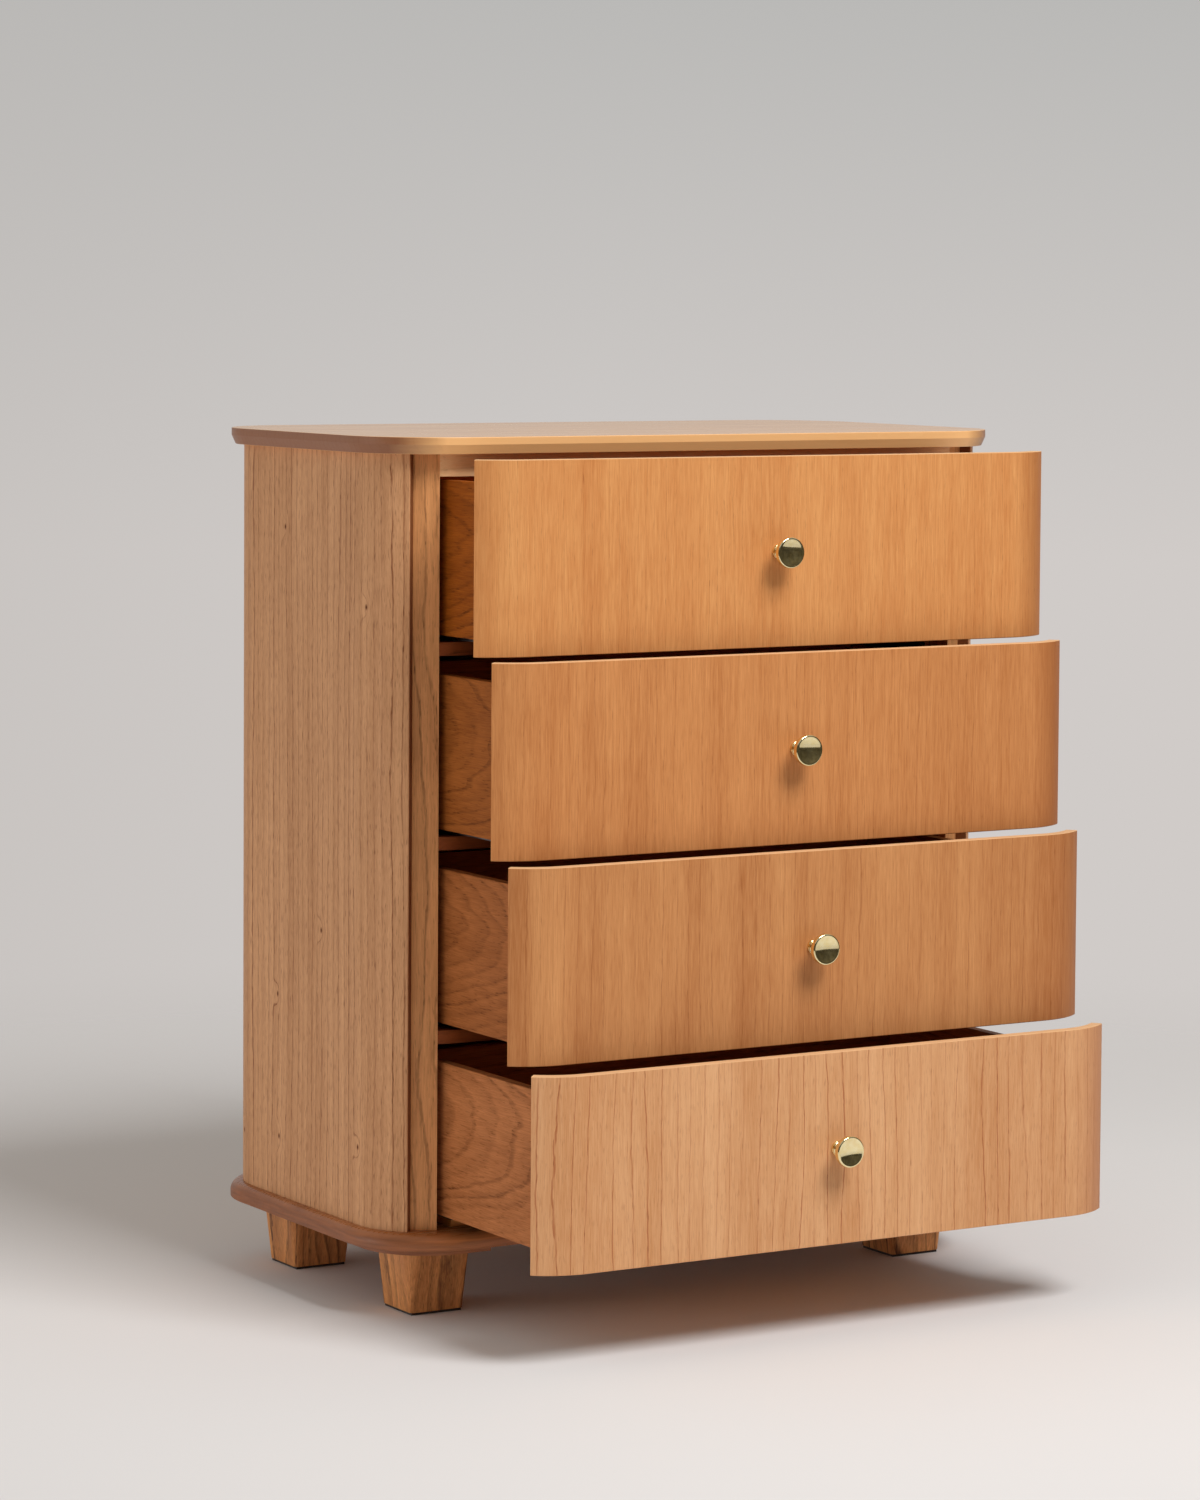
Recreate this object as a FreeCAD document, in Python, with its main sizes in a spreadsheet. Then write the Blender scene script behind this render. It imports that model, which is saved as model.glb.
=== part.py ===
import FreeCAD, Part
import math
import os
import re

import Sketcher

# A chest of four drawers with rounded corners. The origin is on the floor under the middle of the
# case, +Z is up and the drawers open towards -Y. The drawers stand open as far as their openings say.
doc = FreeCAD.newDocument("ChestOfDrawers")
sheet = doc.addObject("Spreadsheet::Sheet", "Sizes")

# Driving sizes, in millimetres and degrees.
SIZES = {
    # Case: bent side panels, back, corner posts
    "case_width": 772,
    "case_depth": 420,
    "case_height": 823,
    "corner_radius": 84,
    "side_thickness": 18,
    "seam_angle": 47.6,
    "seam_round": 1.5,
    "back_thickness": 9,
    "rebate_width": 12,
    "stile_face": 24,
    "stile_depth": 45,
    # Top and base boards
    "overhang": 14,
    "top_thickness": 18,
    "base_thickness": 18,
    "bevel_height": 10,
    "bevel_depth": 4.5,
    "base_round": 12,
    "arris": 1,
    # Rails and dividers
    "top_rail_height": 24,
    "rail_depth": 40,
    "divider_thickness": 14,
    # Drawer fronts
    "front_thickness": 12,
    "front_gap": 3,
    "seam_gap": 1.5,
    "stop_gap": 1,
    # Drawer boxes
    "drawer_clearance": 8,
    "drawer_room": 70,
    "box_thickness": 12,
    "box_lift": 12.5,
    "headroom": 3.75,
    "bottom_thickness": 6,
    "bottom_lift": 16.5,
    "groove_depth": 6,
    "groove_play": 0.1,
    "glue_gap": 0.2,
    # Runners
    "runner_width": 26,
    "runner_wall": 1.5,
    "runner_height": 14,
    "runner_inset": 2,
    "runner_gap": 0.3,
    # Knobs and their screws
    "knob_diameter": 33,
    "knob_projection": 26,
    "knob_base_diameter": 16,
    "knob_base_thickness": 3,
    "knob_stem_diameter": 12,
    "knob_shoulder": 4.5,
    "knob_rim": 3,
    "knob_edge_round": 1.5,
    "knob_face_diameter": 29,
    "knob_dish": 2.5,
    "screw_diameter": 4,
    "screw_head_diameter": 8,
    "screw_head_height": 2.8,
    "screw_bite": 9,
    "screw_play": 0.25,
    # Feet
    "foot_top": 79,
    "foot_bottom": 64,
    "foot_height": 67,
    "foot_inset": 44,
    "foot_round": 5,
    "plate_size": 114,
    "plate_thickness": 8,
    "plate_inset": 20,
    "pad_thickness": 3,
    "pad_inset": 2,
    "bolt_diameter": 8,
    "bolt_bite": 12,
    "bolt_reach": 36,
    "bolt_play": 0.2,
    # How far each drawer stands open, from the top one down
    "opening_1": 134,
    "opening_2": 172,
    "opening_3": 208,
    "opening_4": 257,
}
DRAWERS = (1, 2, 3, 4)

# Sizes that follow from the driving ones.
DERIVED = {
    # The corner arcs of the plan are centred on (arc_x, arc_y) and its mirror images.
    "arc_x": "case_width / 2 - corner_radius",
    "arc_y": "case_depth / 2 - corner_radius",
    "inner_radius": "corner_radius - side_thickness",
    "front_inner_radius": "corner_radius - front_thickness",
    "post_radius": "front_inner_radius - stop_gap",
    "post_inner_radius": "inner_radius - glue_gap",
    "front_angle": "seam_angle + seam_gap / corner_radius * 180 / pi",
    # The opening between the posts, and the set-back line of posts and rails
    "opening_half": "arc_x + post_radius * cos(seam_angle) - stile_face",
    "rail_front": "-arc_y - post_radius",
    "rail_end": "-arc_y - sqrt(post_radius^2 - (opening_half - arc_x)^2)",
    "rail_back": "rail_front + rail_depth",
    "stile_back": "rail_end + stile_depth",
    # Levels above the floor
    "plate_level": "pad_thickness + foot_height",
    "base_level": "plate_level + plate_thickness",
    "case_level": "base_level + base_thickness",
    "top_level": "case_level + case_height",
    # One drawer takes one pitch of the case.
    "pitch": f"case_height / {len(DRAWERS)}",
    "front_height": "pitch - front_gap",
    # Drawer boxes, with heights counted from the lower edge of the drawer front. The drawer room is
    # the part of the case's depth before and behind the box.
    "drawer_length": "case_depth - drawer_room",
    "box_half": "opening_half - drawer_clearance",
    "box_inner_half": "box_half - box_thickness",
    "box_top": "front_height - top_rail_height - headroom + front_gap / 2",
    "bottom_level": "box_lift + bottom_lift",
    "bottom_top": "bottom_level + bottom_thickness",
    "side_start": "-arc_y - sqrt(front_inner_radius^2 - max(0; box_half - arc_x)^2) + glue_gap",
    "side_end": "side_start + drawer_length",
    "box_front_start": "-arc_y - sqrt(front_inner_radius^2 - max(0; box_inner_half - arc_x)^2) + glue_gap",
    "box_front_end": "box_front_start + box_thickness",
    # Runners, with heights counted in the same way
    "runner_length": "drawer_length - box_thickness",
    "runner_floor": "(divider_thickness - front_gap) / 2",
    "runner_x": "box_inner_half - runner_inset - runner_width / 2",
    "member_half": "runner_width / 2 - runner_wall - runner_gap",
    "member_floor": "runner_floor + runner_wall + runner_gap",
    # Feet
    "foot_x": "case_width / 2 - foot_inset - foot_bottom / 2",
    "foot_y": "case_depth / 2 - foot_inset - foot_bottom / 2",
    "bolt_hole": "bolt_diameter / 2 + bolt_play",
    "screw_hole": "screw_diameter / 2 + screw_play",
}
LEFT_TURN = 1
RIGHT_TURN = -1
SMALL = 0.001

for row, (name, size) in enumerate(SIZES.items(), 1):
    sheet.set(f"A{row}", name)
    sheet.set(f"B{row}", str(size))
    sheet.setAlias(f"B{row}", name)
doc.recompute()


def formula(text):
    """Spell a formula of named sizes out in cells of the sheet."""

    def spell(match):
        word = match.group(0)
        if word in DERIVED:
            return f"({formula(DERIVED[word])})"
        return f"Sizes.{word}" if word in SIZES else word

    return re.sub(r"[a-z]\w*", spell, str(text))


def number(text):
    """The value of a formula at the sheet's present sizes."""
    return float(sheet.evalExpression(formula(text)))


def place(piece, x="0", y="0", z="0"):
    """Tie the place of a piece to formulas."""
    for axis, text in zip("xyz", (x, y, z)):
        piece.setExpression(f"Placement.Base.{axis}", formula(text))


def new_body(label):
    body = doc.addObject("PartDesign::Body", label)
    body.Label = label
    return body


def arc_between(start, end, radius, turn):
    """The shorter arc from start to end, turning left (anticlockwise) or right."""
    chord = end - start
    rise = math.sqrt(max(radius**2 - chord.Length**2 / 4, 0))
    normal = FreeCAD.Vector(-chord.y, chord.x, 0).normalize()
    centre = (start + end) / 2 + normal * rise * turn
    first, last = (start, end) if turn == LEFT_TURN else (end, start)
    angles = [math.atan2(p.y - centre.y, p.x - centre.x) for p in (first, last)]
    circle = Part.Circle(centre, FreeCAD.Vector(0, 0, 1), radius)
    return Part.ArcOfCircle(circle, *angles)


def tie(sketch, kind, refs, text):
    """Add one dimension to a sketch and bind it to a formula."""
    index = sketch.addConstraint(Sketcher.Constraint(kind, *refs, number(text)))
    sketch.setExpression(f"Constraints[{index}]", formula(text))


def new_sketch(body, role, level="0"):
    """An empty sketch on one of the body's own origin planes, raised along its normal."""
    sketch = body.newObject("Sketcher::SketchObject", f"{body.Name}_sketch")
    plane = next(p for p in body.Origin.OriginFeatures if p.Role == role)
    sketch.AttachmentSupport = [(plane, "")]
    sketch.MapMode = "FlatFace"
    sketch.setExpression("AttachmentOffset.Base.z", formula(level))
    return sketch


def outline(body, role, corners, level="0"):
    """A closed outline, every corner tied to its two formulas.

    A corner is (x, y), or (x, y, radius, turn) where an arc runs from it to the next corner.
    """
    sketch = new_sketch(body, role, level)
    points = [FreeCAD.Vector(number(c[0]), number(c[1]), 0) for c in corners]
    starts, ends = [], []
    for i, corner in enumerate(corners):
        here, there = points[i], points[(i + 1) % len(points)]
        turn = LEFT_TURN
        if len(corner) == 4:
            radius, turn = corner[2:]
            edge = sketch.addGeometry(arc_between(here, there, number(radius), turn))
            tie(sketch, "Radius", (edge,), radius)
        else:
            edge = sketch.addGeometry(Part.LineSegment(here, there))
        starts.append((edge, 1 if turn == LEFT_TURN else 2))
        ends.append((edge, 2 if turn == LEFT_TURN else 1))
    for i, corner in enumerate(corners):
        sketch.addConstraint(Sketcher.Constraint("Coincident", *ends[i - 1], *starts[i]))
        tie(sketch, "DistanceX", (-1, 1, *starts[i]), corner[0])
        tie(sketch, "DistanceY", (-1, 1, *starts[i]), corner[1])
    return sketch


def circles(body, role, centres, radius, level="0"):
    """A sketch of equal circles, such as bolt holes."""
    sketch = new_sketch(body, role, level)
    for x, y in centres:
        centre = FreeCAD.Vector(number(x), number(y), 0)
        circle = Part.Circle(centre, FreeCAD.Vector(0, 0, 1), number(radius))
        edge = sketch.addGeometry(circle)
        tie(sketch, "Radius", (edge,), radius)
        tie(sketch, "DistanceX", (-1, 1, edge, 3), x)
        tie(sketch, "DistanceY", (-1, 1, edge, 3), y)
    return sketch


def pad(body, sketch, length, reverse=False, middle=False):
    feature = body.newObject("PartDesign::Pad", f"{body.Name}_pad")
    feature.Profile = sketch
    feature.setExpression("Length", formula(length))
    feature.Reversed = reverse
    feature.SideType = "Symmetric" if middle else "One side"
    doc.recompute()
    return feature


def pocket(body, sketch, depth, reverse=False):
    """Cut a sketch into the body, and make sure that it took something away."""
    before = body.Shape.Volume
    feature = body.newObject("PartDesign::Pocket", f"{body.Name}_pocket")
    feature.Profile = sketch
    feature.setExpression("Length", formula(depth))
    feature.Reversed = reverse
    doc.recompute()
    if body.Shape.Volume > before - SMALL:
        raise RuntimeError(f"{body.Label}: the pocket cuts nothing")
    return feature


def revolve(body, sketch):
    """Turn a sketch all the way round its own upright axis."""
    feature = body.newObject("PartDesign::Revolution", f"{body.Name}_turned")
    feature.Profile = sketch
    feature.ReferenceAxis = (sketch, ["V_Axis"])
    feature.Angle = 360
    doc.recompute()
    return feature


def round_edges(body, wanted, radius):
    """Round the edges of the body's last feature whose points all pass a test."""
    base = body.Tip
    names = []
    for i, edge in enumerate(base.Shape.Edges, 1):
        if all(wanted(point) for point in edge.discretize(5)):
            names.append(f"Edge{i}")
    if not names:
        raise RuntimeError(f"{body.Label}: no edge to round")
    feature = body.newObject("PartDesign::Fillet", f"{body.Name}_round")
    feature.Base = (base, names)
    feature.setExpression("Radius", formula(radius))
    doc.recompute()
    return feature


def near(a, b):
    return abs(a - b) < SMALL


def mirrored(source, label, normal=(1, 0, 0)):
    """The same piece on the other side of the middle."""
    piece = doc.addObject("Part::Mirroring", label)
    piece.Label = label
    piece.Source = source
    piece.Normal = FreeCAD.Vector(*normal)
    return piece


def group(label, pieces):
    """Separate solids that share one node."""
    piece = doc.addObject("Part::Compound", label)
    piece.Label = label
    piece.Links = pieces
    return piece


def both_sides(corners):
    """An outline from its right half, drawn from front to back, and that half mirrored."""
    left = []
    for i in range(len(corners) - 1, -1, -1):
        corner = corners[i]
        bend = corners[i - 1][2:] if i else ()
        left.append((f"-({corner[0]})", corner[1], *bend))
    return [*corners, *left]


def board_plan(body, level="0"):
    """The plan of the boards over and under the case: the case's corners and an overhang."""
    x, y = "case_width / 2 + overhang", "case_depth / 2 + overhang"
    bend = ("corner_radius + overhang", LEFT_TURN)
    half = [("arc_x", f"-({y})", *bend), (x, "-arc_y"), (x, "arc_y", *bend), ("arc_x", y)]
    return outline(body, "XY_Plane", both_sides(half), level)


def make_top():
    """The top: a straight edge with a small arris above, and an undercut bevel below."""
    body = new_body("top_panel")
    plan = board_plan(body, "bevel_height")
    pad(body, plan, "top_thickness - bevel_height")
    bevel = pad(body, plan, "bevel_height", reverse=True)
    bevel.setExpression("TaperAngle", formula("-atan(bevel_depth / bevel_height)"))
    doc.recompute()
    face = number("top_thickness")
    round_edges(body, lambda p: near(p.z, 0) or near(p.z, face), "arris")
    place(body, z="top_level")


def make_base():
    """The base: a large round above, a small arris below, and blind holes for the bolts of the feet."""
    body = new_body("base_panel")
    pad(body, board_plan(body), "base_thickness")
    face = number("base_thickness")
    round_edges(body, lambda p: near(p.z, face), "min(base_round; 0.7 * base_thickness)")
    round_edges(body, lambda p: near(p.z, 0), "arris")
    pocket(body, circles(body, "XY_Plane", foot_centres(), "bolt_hole"), "bolt_bite", reverse=True)
    place(body, z="base_level")


def foot_centres():
    return [(f"{i} * foot_x", f"{j} * foot_y") for j in (-1, 1) for i in (-1, 1)]


def on_arc(radius, angle):
    """A corner on a front corner arc, at an angle from the side towards the front."""
    return f"arc_x + {radius} * cos({angle})", f"-arc_y - {radius} * sin({angle})"


def make_side():
    """A bent panel: the front corner as far as the seam, the side, and the whole back corner.

    Its back end has a rebate that takes the back panel.
    """
    body = new_body("side_panel_right")
    rebate = "arc_y + corner_radius - back_thickness"
    corners = [
        (*on_arc("corner_radius", "seam_angle"), "corner_radius", LEFT_TURN),
        ("arc_x + corner_radius", "-arc_y"),
        ("arc_x + corner_radius", "arc_y", "corner_radius", LEFT_TURN),
        ("arc_x", "arc_y + corner_radius"),
        ("arc_x", rebate),
        ("arc_x - rebate_width", rebate),
        ("arc_x - rebate_width", "arc_y + inner_radius"),
        ("arc_x", "arc_y + inner_radius", "inner_radius", RIGHT_TURN),
        ("arc_x + inner_radius", "arc_y"),
        ("arc_x + inner_radius", "-arc_y", "inner_radius", RIGHT_TURN),
        on_arc("inner_radius", "seam_angle"),
    ]
    pad(body, outline(body, "XY_Plane", corners), "case_height")
    seam = [number(text) for text in on_arc("corner_radius", "seam_angle")]
    round_edges(body, lambda p: near(p.x, seam[0]) and near(p.y, seam[1]), "seam_round")
    place(body, z="case_level")
    return body


def make_stile():
    """A corner post behind the drawer fronts, glued into the bend of the side panel."""
    body = new_body("front_stile_right")
    back_x = "arc_x + sqrt(post_inner_radius^2 - (stile_back + arc_y)^2)"
    corners = [
        (*on_arc("post_radius", "seam_angle"), "post_radius", RIGHT_TURN),
        ("opening_half", "rail_end"),
        ("opening_half", "stile_back"),
        (back_x, "stile_back", "post_inner_radius", RIGHT_TURN),
        on_arc("post_inner_radius", "seam_angle"),
    ]
    pad(body, outline(body, "XY_Plane", corners), "case_height")
    place(body, z="case_level")
    return body


def make_rail(label, height, level):
    """A rail between the posts, whose front keeps their set-back line."""
    body = new_body(label)
    half = [
        ("arc_x", "rail_front", "post_radius", LEFT_TURN),
        ("opening_half", "rail_end"),
        ("opening_half", "rail_back"),
    ]
    pad(body, outline(body, "XY_Plane", both_sides(half)), height)
    place(body, z=level)
    return body


def make_divider(number_from_top):
    """A board that carries the runners of one drawer, notched round the posts."""
    level = f"case_level + {len(DRAWERS) - number_from_top} * pitch - divider_thickness / 2"
    make_rail(f"divider_rail_{number_from_top}", "divider_thickness", level)
    body = new_body(f"divider_{number_from_top}")
    shoulder = "max(-arc_y; stile_back + glue_gap)"
    half = [
        ("opening_half", "rail_back"),
        ("opening_half", shoulder),
        ("arc_x + inner_radius", shoulder),
        ("arc_x + inner_radius", "arc_y"),
        ("arc_x", "arc_y + inner_radius"),
    ]
    pad(body, outline(body, "XY_Plane", both_sides(half)), "divider_thickness")
    place(body, z=level)


def make_back():
    """The back panel, in the rebates of the two side panels."""
    body = new_body("back_panel")
    outer = "arc_y + corner_radius"
    half = [("arc_x - glue_gap", f"{outer} - back_thickness"), ("arc_x - glue_gap", outer)]
    pad(body, outline(body, "XY_Plane", both_sides(half)), "case_height")
    place(body, z="case_level")


def make_feet():
    """Tapered square feet, each on a pad and bolted through a corner plate to the base."""
    plates, pads, bolts = [], [], []
    for (x, y), place_name in zip(foot_centres(), ("front_left", "front_right", "back_left", "back_right")):
        foot = new_body(f"foot_{place_name}")
        half, flat = "foot_bottom / 2", "(foot_bottom / 2 - foot_round)"
        bend = ("foot_round", LEFT_TURN)
        square = [(flat, f"-{half}", *bend), (half, f"-{flat}"), (half, flat, *bend), (flat, half)]
        shaft = pad(foot, outline(foot, "XY_Plane", both_sides(square)), "foot_height")
        shaft.setExpression("TaperAngle", formula("atan((foot_top - foot_bottom) / 2 / foot_height)"))
        doc.recompute()
        hole = circles(foot, "XY_Plane", [("0", "0")], "bolt_hole", "foot_height")
        pocket(foot, hole, "bolt_reach")
        place(foot, x, y, "pad_thickness")
        sole = doc.addObject("Part::Box", f"pad_{place_name}")
        for side in ("Length", "Width"):
            sole.setExpression(side, formula("foot_bottom - 2 * pad_inset"))
        sole.setExpression("Height", formula("pad_thickness"))
        place(sole, f"{x} - foot_bottom / 2 + pad_inset", f"{y} - foot_bottom / 2 + pad_inset")
        pads.append(sole)
        bolt = doc.addObject("Part::Cylinder", f"bolt_{place_name}")
        bolt.setExpression("Radius", formula("bolt_diameter / 2"))
        bolt.setExpression("Height", formula("bolt_reach + plate_thickness + bolt_bite"))
        place(bolt, x, y, "plate_level - bolt_reach")
        bolts.append(bolt)
    plate = new_body("plate_back_right")
    x, y = "(case_width / 2 + overhang - plate_inset)", "(case_depth / 2 + overhang - plate_inset)"
    corners = [
        (f"{x} - plate_size", f"{y} - plate_size"),
        (x, f"{y} - plate_size"),
        (x, "arc_y", "corner_radius + overhang - plate_inset", LEFT_TURN),
        ("arc_x", y),
        (f"{x} - plate_size", y),
    ]
    pad(plate, outline(plate, "XY_Plane", corners), "plate_thickness")
    hole = circles(plate, "XY_Plane", [("foot_x", "foot_y")], "bolt_hole")
    pocket(plate, hole, "plate_thickness", reverse=True)
    place(plate, z="plate_level")
    plates.append(plate)
    plates.append(mirrored(plate, "plate_back_left"))
    plates += [mirrored(p, f"plate_front_{i}", (0, 1, 0)) for i, p in enumerate(plates[:2])]
    group("foot_plates", plates)
    group("foot_pads", pads)
    group("foot_bolts", bolts)


def channel(label, half_width, low, high, open_up):
    """A folded steel channel along Y, seen in section, open upwards or downwards."""
    body = new_body(label)
    left, right = f"runner_x - {half_width}", f"runner_x + {half_width}"
    web, mouth, fold = (low, high, "+") if open_up else (high, low, "-")
    corners = [
        (left, mouth),
        (left, web),
        (right, web),
        (right, mouth),
        (f"{right} - runner_wall", mouth),
        (f"{right} - runner_wall", f"{web} {fold} runner_wall"),
        (f"{left} + runner_wall", f"{web} {fold} runner_wall"),
        (f"{left} + runner_wall", mouth),
    ]
    pad(body, outline(body, "XZ_Plane", corners), "runner_length", reverse=True)
    return body


def make_case_runners():
    """The case halves of the runners, alike at all levels. The lowest pair lies on packing strips."""
    runners = []
    for n in DRAWERS:
        right = channel(
            f"case_runner_{n}", "runner_width / 2", "runner_floor", "runner_floor + runner_height", True
        )
        place(right, y="box_front_end + stop_gap", z=front_level(n))
        runners += [right, mirrored(right, f"case_runner_{n}_left")]
    group("case_runners", runners)
    strip = new_body("packer_right")
    corners = [
        ("runner_x - runner_width / 2", "0"),
        ("runner_x + runner_width / 2", "0"),
        ("runner_x + runner_width / 2", "divider_thickness / 2"),
        ("runner_x - runner_width / 2", "divider_thickness / 2"),
    ]
    pad(strip, outline(strip, "XZ_Plane", corners), "runner_length", reverse=True)
    place(strip, y="box_front_end + stop_gap", z="case_level")
    group("runner_packers", [strip, mirrored(strip, "packer_left")])


def front_level(n):
    """The lower edge of a drawer front, counted from the top drawer."""
    return f"case_level + {len(DRAWERS) - n} * pitch + front_gap / 2"


def make_drawer(n):
    """One drawer: a curved front screwed to a box with a loose bottom, its knob and its runners."""
    open_by = f"-opening_{n}"
    level = front_level(n)

    def set_in(piece):
        place(piece, y=open_by, z=level)
        return piece

    def knob_hole(body):
        sketch = circles(body, "XZ_Plane", [("0", "front_height / 2")], "screw_hole", "arc_y")
        return pocket(body, sketch, "corner_radius + arris", reverse=True)

    make_drawer_front(n, set_in, knob_hole)
    box_front = new_body(f"drawer_{n}_box_front")
    groove = [
        ("box_front_start", "box_lift"),
        ("box_front_end", "box_lift"),
        ("box_front_end", "bottom_level - groove_play"),
        ("box_front_end - groove_depth", "bottom_level - groove_play"),
        ("box_front_end - groove_depth", "bottom_top + groove_play"),
        ("box_front_end", "bottom_top + groove_play"),
        ("box_front_end", "box_top"),
        ("box_front_start", "box_top"),
    ]
    pad(box_front, outline(box_front, "YZ_Plane", groove), "2 * box_inner_half", middle=True)
    knob_hole(box_front)
    set_in(box_front)

    side = new_body(f"drawer_{n}_side_right")
    section = [
        ("box_inner_half", "box_lift"),
        ("box_half", "box_lift"),
        ("box_half", "box_top"),
        ("box_inner_half", "box_top"),
        ("box_inner_half", "bottom_top + groove_play"),
        ("box_inner_half + groove_depth", "bottom_top + groove_play"),
        ("box_inner_half + groove_depth", "bottom_level - groove_play"),
        ("box_inner_half", "bottom_level - groove_play"),
    ]
    pad(side, outline(side, "XZ_Plane", section, "-(side_start)"), "drawer_length", reverse=True)
    top = number("box_top")
    round_edges(side, lambda p: near(p.z, top), "arris")
    mirrored(set_in(side), f"drawer_{n}_side_left")

    back = new_body(f"drawer_{n}_back")
    half = [("box_inner_half", "side_end - box_thickness"), ("box_inner_half", "side_end")]
    pad(back, outline(back, "XY_Plane", both_sides(half), "bottom_top"), "box_top - bottom_top")
    set_in(back)

    bottom = new_body(f"drawer_{n}_bottom")
    edge = "box_inner_half + groove_depth - groove_play"
    half = [(edge, "box_front_end - groove_depth + groove_play"), (edge, "side_end")]
    pad(bottom, outline(bottom, "XY_Plane", both_sides(half), "bottom_level"), "bottom_thickness")
    set_in(bottom)

    member = channel(f"member_{n}", "member_half", "member_floor", "bottom_level", False)
    place(member, y=f"box_front_end {open_by}", z=level)
    group(f"drawer_{n}_runners", [member, mirrored(member, f"member_{n}_left")])
    make_knob(n, f"{level} + front_height / 2", open_by)


def make_drawer_front(n, set_in, knob_hole):
    """A front that is flat in the middle and turns back at its ends, in line with the side panels."""
    body = new_body(f"drawer_{n}_front")
    half = [
        ("arc_x", "-arc_y - corner_radius", "corner_radius", LEFT_TURN),
        on_arc("corner_radius", "front_angle"),
        (*on_arc("front_inner_radius", "front_angle"), "front_inner_radius", RIGHT_TURN),
        ("arc_x", "-arc_y - front_inner_radius"),
    ]
    pad(body, outline(body, "XY_Plane", both_sides(half)), "front_height")
    reach = number("corner_radius")
    arc_x, arc_y = number("arc_x"), number("arc_y")

    def on_face(p):
        """Whether a point lies on the curved outer face and on its edge."""
        out = max(abs(p.x) - arc_x, 0)
        return near(math.hypot(out, p.y + arc_y), reach)

    high = number("front_height")
    round_edges(body, lambda p: on_face(p) and (near(p.z, 0) or near(p.z, high)), "arris")
    knob_hole(body)
    set_in(body)


def make_knob(n, level, open_by):
    """A turned brass knob with a dished face, and the screw that holds it from inside."""
    knob = new_body(f"drawer_{n}_knob")
    head, base, stem = "knob_diameter / 2", "knob_base_diameter / 2", "knob_stem_diameter / 2"
    face = "knob_face_diameter / 2"
    rim_back = "(knob_projection - knob_edge_round - knob_rim)"
    flare_end = f"({rim_back} - knob_shoulder)"
    flare = f"({head} - knob_shoulder - {stem})"
    profile = [
        ("screw_hole", "0"),
        (base, "0"),
        (base, "-knob_base_thickness"),
        (stem, f"-knob_base_thickness - ({base} - {stem})"),
        (stem, f"-({flare_end} - {flare})", flare, LEFT_TURN),
        (f"{head} - knob_shoulder", f"-{flare_end}", "knob_shoulder", RIGHT_TURN),
        (head, f"-{rim_back}"),
        (head, "-(knob_projection - knob_edge_round)"),
        (f"{head} - knob_edge_round", "-knob_projection"),
        (face, "-knob_projection", f"(({face})^2 + knob_dish^2) / (2 * knob_dish)", LEFT_TURN),
        ("0", "-(knob_projection - knob_dish)"),
        ("0", "-(screw_bite + stop_gap)"),
        ("screw_hole", "-(screw_bite + stop_gap)"),
    ]
    revolve(knob, outline(knob, "XY_Plane", profile))
    place(knob, y=f"-arc_y - corner_radius {open_by}", z=level)

    screw = new_body(f"drawer_{n}_knob_screw")
    cap = "screw_head_diameter / 2"
    shank = "(box_front_end + arc_y + corner_radius + screw_bite)"
    profile = [
        ("0", "screw_head_height"),
        ("0", f"-{shank}"),
        ("screw_diameter / 2", f"-{shank}"),
        ("screw_diameter / 2", "0"),
        (cap, "0"),
        (cap, "screw_head_height / 2"),
        (f"{cap} - screw_head_height / 2", "screw_head_height"),
    ]
    revolve(screw, outline(screw, "XY_Plane", profile))
    place(screw, y=f"box_front_end {open_by}", z=level)


def finished_pieces():
    """The document's pieces: every object with a shape that no other object uses."""
    kinds = ("PartDesign::Body", "Part::Mirroring", "Part::Compound")
    pieces = [o for o in doc.Objects if o.TypeId in kinds]
    grouped = [link for o in pieces if o.TypeId == "Part::Compound" for link in o.Links]
    return [o for o in pieces if o not in grouped]


make_top()
make_base()
mirrored(make_side(), "side_panel_left")
mirrored(make_stile(), "front_stile_left")
make_back()
make_rail("top_front_rail", "top_rail_height", "top_level - top_rail_height")
for n in DRAWERS[:-1]:
    make_divider(n)
make_feet()
make_case_runners()
for n in DRAWERS:
    make_drawer(n)
doc.recompute()

for item in doc.Objects:
    if "Invalid" in item.State or "Error" in item.State:
        raise RuntimeError(f"{item.Label} failed: {item.State}")
for piece in finished_pieces():
    if piece.Shape.isNull() or not piece.Shape.isValid() or not piece.Shape.Solids:
        raise RuntimeError(f"{piece.Label} has no valid solid")
os.makedirs("parts", exist_ok=True)
for piece in finished_pieces():
    piece.Shape.exportStep(f"parts/{piece.Label}.step")
print(len(finished_pieces()), "pieces written")
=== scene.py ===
import math

import bmesh
import bpy
from mathutils import Matrix, Vector


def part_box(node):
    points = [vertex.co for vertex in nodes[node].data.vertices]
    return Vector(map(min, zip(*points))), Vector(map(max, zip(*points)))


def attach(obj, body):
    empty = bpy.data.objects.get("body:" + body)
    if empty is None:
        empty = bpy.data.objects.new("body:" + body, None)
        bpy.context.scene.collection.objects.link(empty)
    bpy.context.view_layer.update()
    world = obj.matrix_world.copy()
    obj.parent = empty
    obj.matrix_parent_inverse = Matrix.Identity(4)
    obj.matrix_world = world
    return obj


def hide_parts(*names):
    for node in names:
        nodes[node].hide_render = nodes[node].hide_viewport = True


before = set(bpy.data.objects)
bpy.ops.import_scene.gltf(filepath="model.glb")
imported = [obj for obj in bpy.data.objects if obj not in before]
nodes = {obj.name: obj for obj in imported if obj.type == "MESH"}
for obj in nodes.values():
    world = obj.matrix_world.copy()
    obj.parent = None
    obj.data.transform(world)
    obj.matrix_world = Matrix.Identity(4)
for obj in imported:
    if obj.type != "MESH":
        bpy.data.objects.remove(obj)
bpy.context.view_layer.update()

DRAWERS = (1, 2, 3, 4)

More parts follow.
